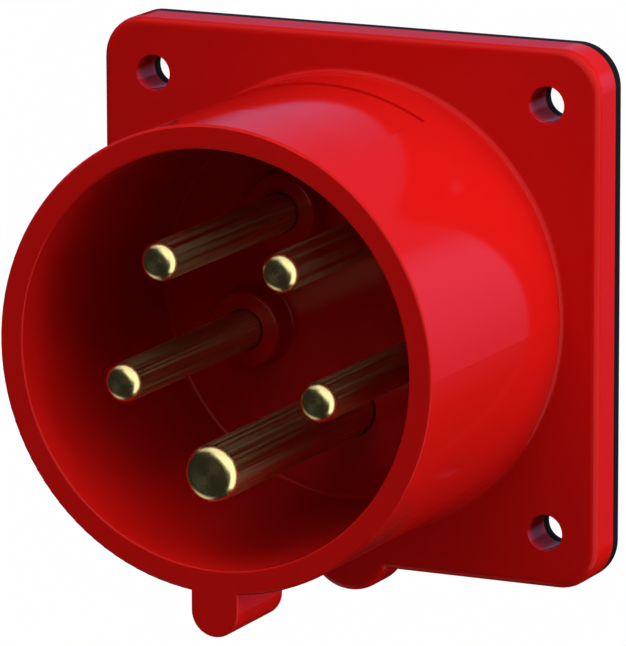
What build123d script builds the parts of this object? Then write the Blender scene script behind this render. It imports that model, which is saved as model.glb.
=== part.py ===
"""Panel-mounting industrial appliance inlet: five pins, straight body, earth and key at 6 o'clock.

Frame: millimetres, +Z up. The inlet hangs on a vertical panel whose face is the plane Y = 0, its shroud
opens towards -Y and its key points to -Z. The origin is the centre of the four fixing holes, on the panel.
Heights are measured from the panel along -Y, so what lies behind the panel has a negative height.
"""
import os
from math import cos, radians, sin

from build123d import *

# Panel fixing
fixing_spacing = 60.0
fixing_hole_radius = 2.6
gasket_thickness = 1.8

# Flange
flange_side = 75.6
flange_thickness = 5.7
flange_corner_radius = 6.0
flange_edge_round = 1.2
tab_radius = 6.5
tab_projection = 3.7

# Shroud
shroud_length = 42.2
mouth_outer_radius = 32.1
shroud_wall = 3.35
outer_draft = 0.15
bore_draft = 0.35
mouth_edge_round = 0.35
root_fillet = 0.8

# Polarising key at the mouth
key_width = 7.0
key_projection = 6.0
key_length = 14.0
key_edge_round = 0.3

# Shallow marking field moulded into the top of the shroud
field_half_angle = 29.3
field_back_offset = 8.5
field_length = 22.0
field_depth = 0.35

# Contact floor inside the shroud
floor_depth = 42.5
floor_thickness = 4.6
floor_fillet = 0.6

# Pins
pin_circle_radius = 15.3
pin_radius = 2.75
earth_pin_radius = 3.95
pin_setback = 1.3
earth_pin_projection = 1.5
pin_tip_round = 1.4
earth_tip_round = 1.45
pin_hole_clearance = 0.2
pin_neck_step = 0.2
pin_neck_rise = 0.2

# Collars moulded round the line and neutral pins
collar_height = 3.4
collar_top_radius = 5.4
collar_base_radius = 5.9
collar_edge_round = 0.7
collar_root_fillet = 0.3

# Rear collar of the body, which passes through the panel
spigot_outer_radius = 27.6
spigot_bore_radius = 25.0
spigot_length = 8.0
spigot_edge_chamfer = 0.8
gasket_bore_clearance = 0.4
rib_width = 3.0
rib_projection = 1.2
rib_clearance = 0.2

# Terminal block
carrier_clearance = 0.3
carrier_base_thickness = 8.6
carrier_length = 26.0
chamber_wall = 1.9
chamber_edge_chamfer = 0.4
hub_radius = 5.5
web_thickness = 2.0
barrel_clearance = 0.1

# Terminal barrels at the rear of the pins
barrel_radius = 4.3
earth_barrel_radius = 4.9
barrel_flange_step = 0.7
barrel_flange_thickness = 2.0
barrel_length = 24.1
barrel_edge_chamfer = 0.4
wire_bore_radius = 2.5
wire_bore_depth = 11.5
wire_bore_chamfer = 0.5

# Terminal screws
screw_radius = 1.75
screw_running_clearance = 0.05
screw_offset_from_end = 6.0
screw_head_radius = 2.9
screw_head_height = 2.4
screw_head_gap = 0.4
screw_open_gap = 0.1
screw_closed_gap = 0.4
screw_tip_chamfer = 0.7
screw_head_chamfer = 0.4
screw_slot_width = 0.9
screw_slot_depth = 1.2
chamber_gap = 0.9

# Screws that hold the terminal block
carrier_screw_circle_radius = 18.0
carrier_screw_radius = 1.5
carrier_screw_head_radius = 2.8
carrier_screw_head_height = 2.0
carrier_screw_bite = 3.4
carrier_screw_hole_clearance = 0.2
carrier_screw_sink = 1.0
carrier_screw_point_chamfer = 0.8
carrier_screw_head_chamfer = 0.5
cross_length = 3.0
cross_width = 0.8
cross_depth = 1.0
pilot_clearance = 0.05
pilot_relief = 0.2

# Heights above the panel that follow from the sizes
flange_back = gasket_thickness
flange_front = flange_back + flange_thickness
mouth = flange_front + shroud_length
floor_front = mouth - floor_depth
floor_back = floor_front - floor_thickness
carrier_base_back = floor_back - carrier_base_thickness
carrier_back = floor_back - carrier_length
barrel_back = floor_back - barrel_length
screw_height = barrel_back + screw_offset_from_end
field_back = flange_front + field_back_offset
field_front = field_back + field_length

# Radii and drops that follow from the sizes
mouth_bore_radius = mouth_outer_radius - shroud_wall
root_outer_radius = mouth_outer_radius + outer_draft
floor_bore_radius = mouth_bore_radius - bore_draft
carrier_radius = spigot_bore_radius - carrier_clearance
gasket_bore_radius = spigot_outer_radius + gasket_bore_clearance
key_centre_drop = mouth_outer_radius + key_projection - key_width / 2
tab_centre_drop = flange_side / 2 + tab_projection - tab_radius

# How close an edge has to be to the size it is picked by
edge_match = 0.001

# Places round the axis, seen from the front and counted from +X towards +Z
pin_step = 72.0
between_pins = pin_step / 2
earth_angle = -90.0
pins = {
    "earth": earth_angle,
    "line_1": earth_angle - pin_step,
    "line_2": earth_angle - 2 * pin_step,
    "line_3": earth_angle + 2 * pin_step,
    "neutral": earth_angle + pin_step,
}
carrier_screw_angles = {
    "carrier_screw_1": earth_angle + 5 * between_pins,
    "carrier_screw_2": earth_angle - between_pins,
    "carrier_screw_3": earth_angle + between_pins,
}


def at_height(height):
    """Plane parallel to the panel, drawn as seen from the front, with its normal towards the front."""
    return Plane.XZ.offset(height)


def polar(radius, angle):
    """Point of a plane from at_height."""
    return (radius * cos(radians(angle)), radius * sin(radians(angle)))


def radial_plane(angle, radius, height):
    """Plane across the spoke at an angle, with its normal outwards and its X along the shroud's axis."""
    x, z = polar(radius, angle)
    return Plane(origin=(x, -height, z), x_dir=(0, 1, 0), z_dir=(x, 0, z))


def shroud_radius(height):
    """Outer radius of the drafted shroud at a height."""
    return mouth_outer_radius + outer_draft * (mouth - height) / shroud_length


def is_earth(name):
    return name == "earth"


def shank_radius(name):
    return earth_pin_radius if is_earth(name) else pin_radius


def terminal_radius(name):
    return earth_barrel_radius if is_earth(name) else barrel_radius


def chamber_half_width(name):
    """Half the clear width of a terminal chamber, which leaves room for the barrel and the screw head."""
    return max(terminal_radius(name) + barrel_clearance, screw_head_radius + chamber_gap)


def ring_edges(part, radius, height):
    """Round edges of a radius that lie in the plane at a height."""
    rings = part.edges().filter_by(GeomType.CIRCLE)
    rings = rings.filter_by(lambda edge: abs(edge.radius - radius) < edge_match)
    return rings.filter_by(lambda edge: abs(edge.arc_center.Y + height) < edge_match)


def make_housing():
    """Shroud, contact floor, flange and rear collar, moulded as one piece."""
    with BuildPart() as housing:
        # Polarising key, flush with the mouth, rounded before the wall takes its root in
        with BuildSketch(at_height(mouth)):
            with Locations((0, -key_centre_drop)):
                Circle(key_width / 2)
            with Locations((0, -(key_centre_drop + mouth_bore_radius) / 2)):
                Rectangle(key_width, key_centre_drop - mouth_bore_radius)
        extrude(amount=-key_length)
        key_front = housing.faces().sort_by(Axis.Y)[0]
        key_back = housing.faces().sort_by(Axis.Y)[-1]
        key_rims = key_front.edges() + key_back.edges()
        fillet(key_rims - key_rims.group_by(Axis.Z)[-1], key_edge_round)

        # Flange with the half-round tab that hangs below it
        with BuildSketch(at_height(flange_back)):
            RectangleRounded(flange_side, flange_side, flange_corner_radius)
            with Locations((0, -tab_centre_drop)):
                Circle(tab_radius)
        extrude(amount=flange_thickness)
        flange_faces = housing.faces().filter_by(Axis.Y).sort_by(SortBy.AREA)
        front_rim = flange_faces[-2:].sort_by(Axis.Y)[0].outer_wire()
        fillet(front_rim.edges(), flange_edge_round)

        # Drafted shroud on the flange, rounded at its mouth
        with BuildSketch(Plane.XY) as wall_profile:
            with BuildLine():
                Polyline(
                    (0, -flange_back),
                    (root_outer_radius, -flange_back),
                    (root_outer_radius, -flange_front),
                    (mouth_outer_radius, -mouth),
                    (0, -mouth),
                    close=True,
                )
            make_face()
            mouth_corner = wall_profile.vertices().group_by(Axis.Y)[0].sort_by(Axis.X)[-1]
            fillet(mouth_corner, mouth_edge_round)
        revolve(axis=Axis.Y)
        fillet(ring_edges(housing, root_outer_radius, flange_front), root_fillet)

        # Marking field: its floor dives under the drafted wall, and ends in a step near the flange
        with BuildSketch(Plane.YZ) as field_profile:
            with BuildLine():
                Polyline(
                    (-field_front, shroud_radius(field_front)),
                    (-field_back, shroud_radius(field_back) - field_depth),
                    (-field_back, shroud_radius(field_back) + field_depth),
                    (-field_front, shroud_radius(field_front) + field_depth),
                    close=True,
                )
            make_face()
        revolve(axis=Axis.Y, revolution_arc=field_half_angle, mode=Mode.SUBTRACT)
        revolve(field_profile.sketch, axis=Axis.Y, revolution_arc=-field_half_angle, mode=Mode.SUBTRACT)

        # Space inside the shroud
        with BuildSketch(Plane.XY):
            with BuildLine():
                Polyline(
                    (0, -floor_front),
                    (floor_bore_radius, -floor_front),
                    (mouth_bore_radius, -mouth),
                    (0, -mouth),
                    close=True,
                )
            make_face()
        revolve(axis=Axis.Y, mode=Mode.SUBTRACT)
        fillet(ring_edges(housing, floor_bore_radius, floor_front), floor_fillet)
        fillet(ring_edges(housing, mouth_bore_radius, mouth), mouth_edge_round)

        # Collars round the line and neutral pins
        for name, angle in pins.items():
            if is_earth(name):
                continue
            with BuildSketch(at_height(floor_front)):
                with Locations(polar(pin_circle_radius, angle)):
                    Circle(collar_base_radius)
            with BuildSketch(at_height(floor_front + collar_height)):
                with Locations(polar(pin_circle_radius, angle)):
                    Circle(collar_top_radius)
            loft()
        fillet(ring_edges(housing, collar_top_radius, floor_front + collar_height), collar_edge_round)
        fillet(ring_edges(housing, collar_base_radius, floor_front), collar_root_fillet)

        # Rear collar that passes through the panel
        with BuildSketch(at_height(flange_back)):
            Circle(spigot_outer_radius)
        extrude(amount=-(flange_back + spigot_length))
        chamfer(ring_edges(housing, spigot_outer_radius, -spigot_length), spigot_edge_chamfer)

        # Rear recess for the terminal block, with the rib that stops it from turning
        with BuildSketch(at_height(floor_back)):
            Circle(spigot_bore_radius)
            with Locations((0, spigot_bore_radius)):
                Rectangle(rib_width, 2 * rib_projection, mode=Mode.SUBTRACT)
        extrude(amount=-(floor_back + spigot_length), mode=Mode.SUBTRACT)

        # Pin holes, pilot holes and panel fixing holes
        for name, angle in pins.items():
            with BuildSketch(at_height(floor_back)):
                with Locations(polar(pin_circle_radius, angle)):
                    Circle(shank_radius(name) + pin_hole_clearance)
            extrude(amount=floor_thickness + collar_height, mode=Mode.SUBTRACT)
        with BuildSketch(at_height(floor_back)):
            for angle in carrier_screw_angles.values():
                with Locations(polar(carrier_screw_circle_radius, angle)):
                    Circle(carrier_screw_radius + pilot_clearance)
        extrude(amount=carrier_screw_bite + pilot_relief, mode=Mode.SUBTRACT)
        with BuildSketch(at_height(flange_back)):
            with GridLocations(fixing_spacing, fixing_spacing, 2, 2):
                Circle(fixing_hole_radius)
        extrude(amount=flange_thickness, mode=Mode.SUBTRACT)
    return housing


def make_gasket():
    """Flat seal of the flange's outline, without its tab."""
    with BuildPart() as gasket:
        with BuildSketch(at_height(0)):
            RectangleRounded(flange_side, flange_side, flange_corner_radius)
            Circle(gasket_bore_radius, mode=Mode.SUBTRACT)
            with GridLocations(fixing_spacing, fixing_spacing, 2, 2):
                Circle(fixing_hole_radius, mode=Mode.SUBTRACT)
        extrude(amount=gasket_thickness)
    return gasket


def make_carrier():
    """Insulating block: a base that clamps the pins' flanges, and a chamber round each terminal barrel."""
    chamber_height = carrier_length - carrier_base_thickness
    with BuildPart() as carrier:
        # Chamber walls, the hub and the webs that tie them together
        with BuildSketch(at_height(carrier_back)):
            for name, angle in pins.items():
                outer_half_width = chamber_half_width(name) + chamber_wall
                with PolarLocations(pin_circle_radius, 1, start_angle=angle):
                    Circle(outer_half_width)
                with PolarLocations((pin_circle_radius + carrier_radius) / 2, 1, start_angle=angle):
                    Rectangle(carrier_radius - pin_circle_radius, 2 * outer_half_width)
                with PolarLocations(pin_circle_radius / 2, 1, start_angle=angle):
                    Rectangle(pin_circle_radius, web_thickness)
            Circle(hub_radius)
            Circle(carrier_radius, mode=Mode.INTERSECT)
        extrude(amount=chamber_height)

        # Room for each barrel and for the way of its screw outwards
        for name, angle in pins.items():
            half_width = chamber_half_width(name)
            with BuildSketch(at_height(carrier_back)):
                with PolarLocations(pin_circle_radius, 1, start_angle=angle):
                    Circle(half_width)
                with PolarLocations(pin_circle_radius + carrier_radius / 2, 1, start_angle=angle):
                    Rectangle(carrier_radius, 2 * half_width)
            extrude(amount=chamber_height, mode=Mode.SUBTRACT)
        rear_edges = carrier.edges().group_by(Axis.Y)[-1]
        chamfer(rear_edges, chamber_edge_chamfer)

        # Base disc with the notch for the body's rib
        with BuildSketch(at_height(carrier_base_back)):
            Circle(carrier_radius)
            with Locations((0, spigot_bore_radius)):
                Rectangle(
                    rib_width + 2 * rib_clearance,
                    2 * (rib_projection + rib_clearance),
                    mode=Mode.SUBTRACT,
                )
        extrude(amount=carrier_base_thickness)

        # Bores for the barrels, with seats for their flanges at the front
        for name, angle in pins.items():
            with BuildSketch(at_height(carrier_base_back)):
                with Locations(polar(pin_circle_radius, angle)):
                    Circle(terminal_radius(name) + barrel_clearance)
            extrude(amount=carrier_base_thickness, mode=Mode.SUBTRACT)
            with BuildSketch(at_height(floor_back)):
                with Locations(polar(pin_circle_radius, angle)):
                    Circle(terminal_radius(name) + barrel_flange_step + barrel_clearance)
            extrude(amount=-barrel_flange_thickness, mode=Mode.SUBTRACT)

        # Holes for the three screws, with sunk seats for their heads
        for angle in carrier_screw_angles.values():
            with BuildSketch(at_height(carrier_base_back)):
                with Locations(polar(carrier_screw_circle_radius, angle)):
                    Circle(carrier_screw_radius + carrier_screw_hole_clearance)
            extrude(amount=carrier_base_thickness, mode=Mode.SUBTRACT)
            with BuildSketch(at_height(carrier_base_back)):
                with Locations(polar(carrier_screw_circle_radius, angle)):
                    Circle(carrier_screw_head_radius + carrier_screw_hole_clearance)
            extrude(amount=carrier_screw_sink, mode=Mode.SUBTRACT)
    return carrier


def make_pin(name, angle):
    """Turned pin: rounded tip, shank, neck in its hole, flange, and a rear barrel bored for the wire."""
    x, z = polar(pin_circle_radius, angle)
    tip = mouth + earth_pin_projection if is_earth(name) else mouth - pin_setback
    tip_round = earth_tip_round if is_earth(name) else pin_tip_round
    shank = shank_radius(name)
    barrel = terminal_radius(name)
    neck = shank - pin_neck_step
    hole_mouth = floor_front if is_earth(name) else floor_front + collar_height
    neck_end = hole_mouth + pin_neck_rise
    flange = barrel + barrel_flange_step
    flange_height = floor_back - barrel_flange_thickness
    with BuildPart() as pin:
        with BuildSketch(Plane(origin=(x, 0, z), x_dir=(1, 0, 0), z_dir=(0, 0, 1))):
            with BuildLine():
                Polyline(
                    (0, -tip),
                    (shank, -tip),
                    (shank, -neck_end),
                    (neck, -neck_end),
                    (neck, -floor_back),
                    (flange, -floor_back),
                    (flange, -flange_height),
                    (barrel, -flange_height),
                    (barrel, -barrel_back),
                    (wire_bore_radius, -barrel_back),
                    (wire_bore_radius, -(barrel_back + wire_bore_depth)),
                    (0, -(barrel_back + wire_bore_depth)),
                    close=True,
                )
            make_face()
        revolve(axis=Axis((x, 0, z), (0, 1, 0)))
        fillet(ring_edges(pin, shank, tip), tip_round)
        chamfer(ring_edges(pin, barrel, barrel_back), barrel_edge_chamfer)
        chamfer(ring_edges(pin, wire_bore_radius, barrel_back), wire_bore_chamfer)

        # Tapped hole for the terminal screw, from outside into the wire bore
        with BuildSketch(radial_plane(angle, pin_circle_radius, screw_height)):
            Circle(screw_radius + screw_running_clearance)
        extrude(amount=flange, mode=Mode.SUBTRACT)
    return pin


def make_terminal_screw(name, angle):
    """Terminal screw as delivered, backed out so that the wire bore is clear."""
    tip = pin_circle_radius + wire_bore_radius + screw_open_gap
    shank_length = terminal_radius(name) + wire_bore_radius - screw_closed_gap + screw_head_gap
    head = tip + shank_length
    top = head + screw_head_height
    with BuildPart() as screw:
        with BuildSketch(radial_plane(angle, tip, screw_height)):
            Circle(screw_radius)
        extrude(amount=shank_length)
        with BuildSketch(radial_plane(angle, head, screw_height)):
            Circle(screw_head_radius)
        extrude(amount=screw_head_height)
        outward = Axis((0, 0, 0), radial_plane(angle, tip, screw_height).z_dir)
        round_edges = screw.edges().filter_by(GeomType.CIRCLE).sort_by(outward)
        chamfer(round_edges[0], screw_tip_chamfer)
        chamfer(round_edges[-1], screw_head_chamfer)
        with BuildSketch(radial_plane(angle, top, screw_height)):
            Rectangle(screw_slot_width, 2 * screw_head_radius)
        extrude(amount=-screw_slot_depth, mode=Mode.SUBTRACT)
    return screw


def make_carrier_screw(angle):
    """Self-tapping screw from the rear, with a cross recess."""
    x, z = polar(carrier_screw_circle_radius, angle)
    seat = carrier_base_back + carrier_screw_sink
    top = seat - carrier_screw_head_height
    point = floor_back + carrier_screw_bite
    with BuildPart() as screw:
        with BuildSketch(at_height(seat)):
            with Locations((x, z)):
                Circle(carrier_screw_radius)
        extrude(amount=point - seat)
        with BuildSketch(at_height(top)):
            with Locations((x, z)):
                Circle(carrier_screw_head_radius)
        extrude(amount=carrier_screw_head_height)
        chamfer(ring_edges(screw, carrier_screw_radius, point), carrier_screw_point_chamfer)
        chamfer(ring_edges(screw, carrier_screw_head_radius, top), carrier_screw_head_chamfer)
        with BuildSketch(at_height(top)):
            with Locations((x, z)):
                Rectangle(cross_length, cross_width)
                Rectangle(cross_width, cross_length)
        extrude(amount=cross_depth, mode=Mode.SUBTRACT)
    return screw


def save(piece, node):
    """Label a finished piece and write it under its own name."""
    piece.part.label = node
    export_step(piece.part, os.path.join("parts", node + ".step"))


os.makedirs("parts", exist_ok=True)
save(make_housing(), "inlet_housing")
save(make_gasket(), "flange_gasket")
save(make_carrier(), "terminal_carrier")
for pin_name, pin_angle in pins.items():
    save(make_pin(pin_name, pin_angle), "pin_" + pin_name)
    save(make_terminal_screw(pin_name, pin_angle), "terminal_screw_" + pin_name)
for screw_name, screw_angle in carrier_screw_angles.items():
    save(make_carrier_screw(screw_angle), screw_name)
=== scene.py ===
"""Looks of the red panel-mounting inlet: its materials, a plain studio, and the camera of the photograph."""
from math import cos, pi, radians, sin

import bpy
from mathutils import Matrix, Vector


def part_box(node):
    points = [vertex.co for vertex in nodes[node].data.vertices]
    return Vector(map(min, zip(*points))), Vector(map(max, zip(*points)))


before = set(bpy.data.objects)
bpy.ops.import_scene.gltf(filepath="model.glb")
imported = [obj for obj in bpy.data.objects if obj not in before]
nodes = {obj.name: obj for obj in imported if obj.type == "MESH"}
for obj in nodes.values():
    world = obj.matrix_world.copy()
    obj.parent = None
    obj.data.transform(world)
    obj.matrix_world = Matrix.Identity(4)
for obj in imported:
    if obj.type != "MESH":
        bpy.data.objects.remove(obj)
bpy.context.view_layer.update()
scene = bpy.context.scene

# Camera of the photograph, in metres and radians, and its lens for a long side of 36 mm
CAMERA_PLACE = (0.3997, -0.8546, 0.2005)
CAMERA_YAW = 0.446
CAMERA_PITCH = 0.214
CAMERA_ROLL = -0.003
CAMERA_LENS = 384.4
LONG_SIDE = 36.0
CAMERA_NEAR = 0.05
CAMERA_FAR = 30.0

# Pale floor far below the part, in metres, and how much of it the camera sees as plain white
FLOOR_HEIGHT = -1.5
FLOOR_SIDE = 24.0
FLOOR_TONE = (0.8, 0.8, 0.8, 1.0)
FLOOR_SHARE_SEEN = 0.993
WHITE = (1.0, 1.0, 1.0, 1.0)

# Faint light from all round
AMBIENT_TONE = (0.86, 0.9, 1.0, 1.0)
AMBIENT_STRENGTH = 0.012

# Soft square lights that face the part: azimuth from the front towards the right, elevation, and strength
LIGHT_CENTRE = Vector((0.0, -0.02, 0.0))
LIGHT_DISTANCE = 1.4
LIGHT_SIDE = 1.0
LIGHTS = {
    "right": (90.0, 20.0, 0.58),
    "right_back": (120.0, 20.0, 0.38),
    "front_high": (0.0, 50.0, 0.35),
    "right_high": (90.0, 50.0, 0.28),
    "left_front_top": (-45.0, 70.0, 0.22),
    "right_low": (75.0, -30.0, 0.18),
    "right_front_high": (60.0, 50.0, 0.18),
    "left": (-90.0, 20.0, 0.12),
    "right_front_top": (45.0, 70.0, 0.07),
    "left_front_low": (-45.0, -10.0, 0.07),
}

# Windows behind the part that gloss mirrors: the spans of a mirrored direction's x, y and z over which they
# fade in or out, and their levels. The top one gets brighter towards the left.
WINDOW_TONE = (0.6, 0.5, 1.0, 1.0)
WINDOWS_BEHIND = (0.2, 0.45)
RIGHT_WINDOW_X = (0.33, 0.42)
RIGHT_WINDOW_BELOW = (-0.42, 0.2)
RIGHT_WINDOW_ABOVE = (0.34, 0.27)
RIGHT_WINDOW_LEVEL = 1.15
TOP_WINDOW_BELOW = (0.08, 0.27)
TOP_WINDOW_LEVEL = 0.33
TOP_WINDOW_LEFT_X = (-0.05, -0.34)
TOP_WINDOW_LEFT_LEVEL = 0.25

# Bright panes that gloss mirrors: azimuth, elevation, width and height at 1 m, and level
PANES = {
    "front": (13.0, 26.0, 1.0, 1.0, 1.4),
    "right": (70.0, 0.0, 1.6, 2.6, 1.5),
    "top": (10.0, 74.0, 1.3, 1.0, 1.2),
    "left_high": (-60.0, 56.0, 0.9, 0.7, 0.7),
    "left_low": (-72.0, -52.0, 0.66, 0.46, 0.75),
}
PANE_EDGE = 0.18

# Dim level that gloss mirrors between the panes: all round, and what is added in front of the part
DIM_LEVEL = 0.005
DIM_FRONT_Y = (0.4, 0.0)
DIM_FRONT_LEVEL = 0.015

# Mouldings: two near tones, limits of the roughness, and the grain in waves per metre and metres
RED = {
    "tones": ((0.53, 0.0056, 0.0045, 1.0), (0.56, 0.006, 0.0048, 1.0)),
    "roughness": (0.08, 0.12),
    "ior": 1.2,
    "grain": 900.0,
    "grain_depth": 1e-6,
}
RUBBER = {
    "tones": ((0.003, 0.0042, 0.005, 1.0), (0.005, 0.0065, 0.0075, 1.0)),
    "roughness": (0.5, 0.65),
    "ior": 1.15,
    "grain": 2500.0,
    "grain_depth": 2e-5,
}
BLOCK = {
    "tones": ((0.045, 0.047, 0.050, 1.0), (0.055, 0.057, 0.061, 1.0)),
    "roughness": (0.42, 0.52),
    "ior": 1.45,
    "grain": 3000.0,
    "grain_depth": 1e-5,
}
MOULDING_CLOUDS = 55.0
MOULDING_CLOUD_DETAIL = 3.0
GRAIN_DETAIL = 2.0
GRAIN_STRENGTH = 0.5

# Brass of the pins, in waves per metre and metres: tarnish, turning rings, and marks from drawing the bar
BRASS_TONES = ((0.76, 0.66, 0.30, 1.0), (0.88, 0.77, 0.35, 1.0))
DULL_BRASS_TONE = (0.45, 0.38, 0.22, 1.0)
TARNISH_SCALE = 260.0
TARNISH_DETAIL = 4.0
ACROSS_PIN = (1.0, 0.0, 1.0)
RING_SCALE = 9000.0
RING_DETAIL = 3.0
RING_ROUGHNESS = 0.6
RING_DEPTH = 1.2e-6
ALONG_PIN = (1.0, 0.005, 1.0)
DRAWN_SCALE = 3000.0
DRAWN_DETAIL = 2.0
DRAWN_DEPTH = 1.8e-5
DRAWN_SPAN = (0.2, 0.8)
MARK_STRENGTH = 0.5

# Gloss of the pins, stretched as turning does: polished to a depth behind the tip, and duller after that
POLISHED_DEPTH = (0.0007, 0.0016)
POLISHED_ROUGHNESS = (0.18, 0.32)
TURNED_ROUGHNESS = (0.26, 0.52)
TURNED_STRETCH = 0.4
QUARTER_TURN = 0.25

# Zinc plating of the screws, in waves per metre and metres
ZINC_TONES = ((0.58, 0.61, 0.64, 1.0), (0.66, 0.65, 0.60, 1.0))
ZINC_ROUGHNESS = (0.28, 0.42)
ZINC_CLOUDS = 350.0
ZINC_CLOUD_DETAIL = 4.0
ZINC_CLOUD_DISTORTION = 0.6
PIT_SCALE = 4000.0
PIT_DETAIL = 3.0
PIT_STRENGTH = 0.4
PIT_DEPTH = 5e-6


class Graph:
    """Node tree that is being filled. Values are numbers, vectors or outputs of its nodes."""

    def __init__(self, owner):
        owner.use_nodes = True
        self.tree = owner.node_tree
        self.tree.nodes.clear()

    def feed(self, socket, value):
        """Gives an input its value."""
        if isinstance(value, bpy.types.NodeSocket):
            self.tree.links.new(value, socket)
        else:
            socket.default_value = value

    def add(self, kind, **values):
        """New node; each value goes to the input of its name, or else to the setting of its name."""
        node = self.tree.nodes.new(kind)
        for name, value in values.items():
            socket = name.replace("_", " ")
            if socket in node.inputs:
                self.feed(node.inputs[socket], value)
            else:
                setattr(node, name, value)
        return node

    def add_in_order(self, kind, *values, **settings):
        """New node whose inputs take the values in their order."""
        node = self.add(kind, **settings)
        for socket, value in zip(node.inputs, values):
            self.feed(socket, value)
        return node

    def number(self, operation, *values):
        """Number from numbers, by the named operation."""
        return self.add_in_order("ShaderNodeMath", *values, operation=operation).outputs["Value"]

    def vector(self, operation, *values, result="Vector"):
        """Vector, or with "Value" as its result a number, from vectors by the named operation."""
        return self.add_in_order("ShaderNodeVectorMath", *values, operation=operation).outputs[result]

    def ramp(self, source, span, level=1.0):
        """Smooth rise from 0 to the level while the source goes over the span."""
        node = self.add(
            "ShaderNodeMapRange",
            interpolation_type="SMOOTHSTEP",
            Value=source,
            From_Min=span[0],
            From_Max=span[1],
            To_Max=level,
        )
        return node.outputs["Result"]

    def spread(self, source, limits):
        """The source's span from 0 to 1, mapped onto the limits."""
        node = self.add("ShaderNodeMapRange", Value=source, To_Min=limits[0], To_Max=limits[1])
        return node.outputs["Result"]

    def mix(self, data_type, share, first, second):
        """The first value, or by the share the second."""
        node = self.add("ShaderNodeMix", data_type=data_type, Factor=share, A=first, B=second)
        return node.outputs["Result"]

    def noise(self, **values):
        """Soft noise round one half."""
        return self.add("ShaderNodeTexNoise", **values).outputs["Fac"]

    def bump(self, height, strength, depth, **values):
        """Normal of a surface with the height in it."""
        node = self.add("ShaderNodeBump", Height=height, Strength=strength, Distance=depth, **values)
        return node.outputs["Normal"]

    def background(self, tone, strength):
        """Light from all round."""
        return self.add("ShaderNodeBackground", Color=tone, Strength=strength).outputs["Background"]

    def either(self, share, first, second):
        """The first shader, or by the share the second."""
        return self.add_in_order("ShaderNodeMixShader", share, first, second).outputs["Shader"]

    def seen_straight(self):
        """1 for what the camera sees, also through glass, and 0 for the rest."""
        path = self.add("ShaderNodeLightPath").outputs
        return self.number("MAXIMUM", path["Is Camera Ray"], path["Is Transmission Ray"])


def new_material(name):
    """Material, its empty graph, and the place on the object that its noises go by."""
    material = bpy.data.materials.new(name)
    graph = Graph(material)
    return material, graph, graph.add("ShaderNodeTexCoord").outputs["Object"]


def moulding(name, tones, roughness, ior, grain, grain_depth):
    """Moulded plastic or rubber: two near tones in soft clouds, uneven gloss, and a fine grain."""
    material, graph, place = new_material(name)
    clouds = graph.noise(Vector=place, Scale=MOULDING_CLOUDS, Detail=MOULDING_CLOUD_DETAIL)
    fine = graph.noise(Vector=place, Scale=grain, Detail=GRAIN_DETAIL)
    shader = graph.add(
        "ShaderNodeBsdfPrincipled",
        IOR=ior,
        Base_Color=graph.mix("RGBA", clouds, *tones),
        Roughness=graph.spread(clouds, roughness),
        Normal=graph.bump(fine, GRAIN_STRENGTH, grain_depth),
    )
    graph.add("ShaderNodeOutputMaterial", Surface=shader.outputs["BSDF"])
    return material


def turned_brass(name, node):
    """Drawn bar turned about an axis along Y: polished tip, fine rings, marks along its length, tarnish."""
    low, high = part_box(node)
    centre = [(a + b) / 2 for a, b in zip(low, high)]
    material, graph, place = new_material(name)
    y = graph.add("ShaderNodeSeparateXYZ", Vector=place).outputs["Y"]
    past_tip = graph.ramp(y, [low[1] + depth for depth in POLISHED_DEPTH])

    # Rings about the axis, on the tip's face and along the shank
    from_axis = graph.vector("MULTIPLY", graph.vector("SUBTRACT", place, centre), ACROSS_PIN)
    radius = graph.vector("LENGTH", from_axis, result="Value")
    rings = graph.noise(
        noise_dimensions="1D",
        W=graph.number("ADD", radius, y),
        Scale=RING_SCALE,
        Detail=RING_DETAIL,
        Roughness=RING_ROUGHNESS,
    )

    # Marks along the shank
    stretched = graph.vector("MULTIPLY", place, ALONG_PIN)
    drawn = graph.noise(Vector=stretched, Scale=DRAWN_SCALE, Detail=DRAWN_DETAIL)
    marks = graph.ramp(drawn, DRAWN_SPAN)
    normal = graph.bump(drawn, MARK_STRENGTH, DRAWN_DEPTH)

    # Tone and gloss, different on the tip and behind it
    clouds = graph.noise(Vector=place, Scale=TARNISH_SCALE, Detail=TARNISH_DETAIL)
    clean = graph.mix("RGBA", clouds, *BRASS_TONES)
    polished = graph.spread(rings, POLISHED_ROUGHNESS)
    shader = graph.add(
        "ShaderNodeBsdfPrincipled",
        Metallic=1.0,
        Base_Color=graph.mix("RGBA", graph.number("MULTIPLY", marks, past_tip), clean, DULL_BRASS_TONE),
        Roughness=graph.mix("FLOAT", past_tip, polished, graph.spread(marks, TURNED_ROUGHNESS)),
        Anisotropic=TURNED_STRETCH,
        Anisotropic_Rotation=QUARTER_TURN,
        Tangent=graph.add("ShaderNodeTangent", direction_type="RADIAL", axis="Y").outputs["Tangent"],
        Normal=graph.bump(rings, MARK_STRENGTH, RING_DEPTH, Normal=normal),
    )
    graph.add("ShaderNodeOutputMaterial", Surface=shader.outputs["BSDF"])
    return material


def zinc_plate(name):
    """Zinc-plated steel: a grey that drifts between two tones, with fine pits."""
    material, graph, place = new_material(name)
    clouds = graph.noise(
        Vector=place,
        Scale=ZINC_CLOUDS,
        Detail=ZINC_CLOUD_DETAIL,
        Distortion=ZINC_CLOUD_DISTORTION,
    )
    pits = graph.noise(Vector=place, Scale=PIT_SCALE, Detail=PIT_DETAIL)
    shader = graph.add(
        "ShaderNodeBsdfPrincipled",
        Metallic=1.0,
        Base_Color=graph.mix("RGBA", clouds, *ZINC_TONES),
        Roughness=graph.spread(pits, ZINC_ROUGHNESS),
        Normal=graph.bump(pits, PIT_STRENGTH, PIT_DEPTH),
    )
    graph.add("ShaderNodeOutputMaterial", Surface=shader.outputs["BSDF"])
    return material


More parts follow.
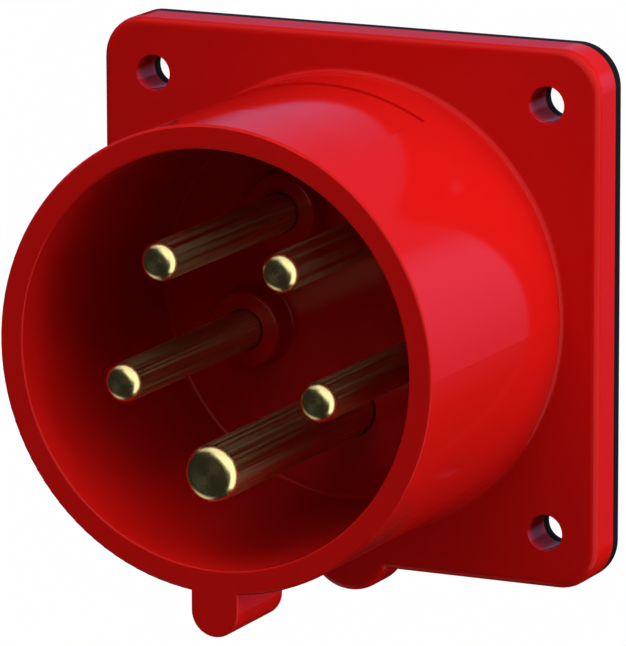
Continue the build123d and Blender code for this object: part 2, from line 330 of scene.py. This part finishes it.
def dress(node, material):
    """Gives a CAD node its material."""
    mesh = nodes[node].data
    mesh.materials.clear()
    mesh.materials.append(material)


def dress_all():
    """Gives each CAD node the material of what it is made of."""
    dress("inlet_housing", moulding("red_moulding", **RED))
    dress("flange_gasket", moulding("gasket_rubber", **RUBBER))
    dress("terminal_carrier", moulding("carrier_moulding", **BLOCK))
    zinc = zinc_plate("zinc_plate")
    for node in nodes:
        if node.startswith("pin_"):
            dress(node, turned_brass("turned_brass_" + node, node))
        if "screw" in node:
            dress(node, zinc)


def make_camera():
    """Camera at the photograph's place, turned as it was."""
    data = bpy.data.cameras.new("camera")
    data.sensor_width = LONG_SIDE
    data.lens = CAMERA_LENS
    data.clip_start = CAMERA_NEAR
    data.clip_end = CAMERA_FAR
    camera = bpy.data.objects.new("camera", data)
    scene.collection.objects.link(camera)
    turn = Matrix.Rotation(CAMERA_YAW, 4, "Z") @ Matrix.Rotation(pi / 2 - CAMERA_PITCH, 4, "X")
    camera.matrix_world = Matrix.Translation(CAMERA_PLACE) @ turn @ Matrix.Rotation(CAMERA_ROLL, 4, "Z")
    scene.camera = camera


def heading(azimuth, elevation):
    """Direction from its azimuth, from the front towards the right, and its elevation, in degrees."""
    turn, rise = radians(azimuth), radians(elevation)
    return Vector((sin(turn) * cos(rise), -cos(turn) * cos(rise), sin(rise)))


def windows(graph, x, y, z):
    """Level of the windows behind the part, in a mirrored direction."""
    right = graph.number("MULTIPLY", graph.ramp(x, RIGHT_WINDOW_X), graph.ramp(z, RIGHT_WINDOW_ABOVE))
    right = graph.number("MULTIPLY", right, graph.ramp(z, RIGHT_WINDOW_BELOW, RIGHT_WINDOW_LEVEL))
    left_part = graph.ramp(x, TOP_WINDOW_LEFT_X, TOP_WINDOW_LEFT_LEVEL)
    top = graph.number("ADD", left_part, TOP_WINDOW_LEVEL)
    top = graph.number("MULTIPLY", top, graph.ramp(z, TOP_WINDOW_BELOW))
    return graph.number("MULTIPLY", graph.number("MAXIMUM", right, top), graph.ramp(y, WINDOWS_BEHIND))


def pane(graph, direction, azimuth, elevation, width, height, level):
    """Level of an upright soft-edged pane at 1 m, in a mirrored direction."""
    outward = heading(azimuth, elevation)
    side = Vector((0, 0, 1)).cross(outward).normalized()
    ahead = graph.vector("DOT_PRODUCT", direction, outward, result="Value")
    lit = graph.ramp(ahead, (0.0, PANE_EDGE), level)
    for axis, size in ((side, width), (outward.cross(side), height)):
        sideways = graph.vector("DOT_PRODUCT", direction, axis, result="Value")
        offset = graph.number("ABSOLUTE", graph.number("DIVIDE", sideways, ahead))
        inside = graph.ramp(offset, (size / 2 + PANE_EDGE, size / 2 - PANE_EDGE))
        lit = graph.number("MULTIPLY", lit, inside)
    return lit


def all_panes(graph, direction, y):
    """Level of the brightest pane in a mirrored direction, or of the dim rest."""
    brightest = graph.number("ADD", graph.ramp(y, DIM_FRONT_Y, DIM_FRONT_LEVEL), DIM_LEVEL)
    for values in PANES.values():
        brightest = graph.number("MAXIMUM", brightest, pane(graph, direction, *values))
    return brightest


def make_world():
    """White to look at, the studio's windows and panes in gloss, and a faint light on the rest."""
    world = bpy.data.worlds.new("studio")
    scene.world = world
    graph = Graph(world)
    direction = graph.add("ShaderNodeTexCoord").outputs["Generated"]
    x, y, z = graph.add("ShaderNodeSeparateXYZ", Vector=direction).outputs
    behind = graph.background(WINDOW_TONE, windows(graph, x, y, z))
    around = graph.background(WHITE, all_panes(graph, direction, y))
    mirrored = graph.add_in_order("ShaderNodeAddShader", behind, around).outputs["Shader"]
    ambient = graph.background(AMBIENT_TONE, AMBIENT_STRENGTH)
    in_gloss = graph.add("ShaderNodeLightPath").outputs["Is Glossy Ray"]
    lighting = graph.either(in_gloss, ambient, mirrored)
    seen = graph.either(graph.seen_straight(), lighting, graph.background(WHITE, 1.0))
    graph.add("ShaderNodeOutputWorld", Surface=seen)


def make_floor():
    """Plain pale floor, well below the part, which a panel would hold."""
    bpy.ops.mesh.primitive_plane_add(size=FLOOR_SIDE, location=(0, 0, FLOOR_HEIGHT))
    floor = bpy.context.object
    floor.name = "floor"
    floor.visible_glossy = False
    material = bpy.data.materials.new("pale_floor")
    graph = Graph(material)
    paint = graph.add("ShaderNodeBsdfDiffuse", Color=FLOOR_TONE).outputs["BSDF"]
    white = graph.add("ShaderNodeEmission", Color=WHITE, Strength=1.0).outputs["Emission"]
    share = graph.number("MULTIPLY", graph.seen_straight(), FLOOR_SHARE_SEEN)
    graph.add("ShaderNodeOutputMaterial", Surface=graph.either(share, paint, white))
    floor.data.materials.append(material)


def make_lights():
    """Soft square lights; at a strength of 1, a surface that faces one shows its own tone."""
    for name, (azimuth, elevation, strength) in LIGHTS.items():
        outward = heading(azimuth, elevation)
        data = bpy.data.lights.new(name, "AREA")
        data.shape = "SQUARE"
        data.size = LIGHT_SIDE
        data.energy = strength * (pi * LIGHT_DISTANCE) ** 2
        light = bpy.data.objects.new(name, data)
        light.location = LIGHT_CENTRE + LIGHT_DISTANCE * outward
        light.rotation_mode = "QUATERNION"
        light.rotation_quaternion = outward.to_track_quat("Z", "Y")
        light.visible_glossy = False
        scene.collection.objects.link(light)


dress_all()
make_camera()
make_world()
make_floor()
make_lights()
scene.view_settings.view_transform = "Standard"
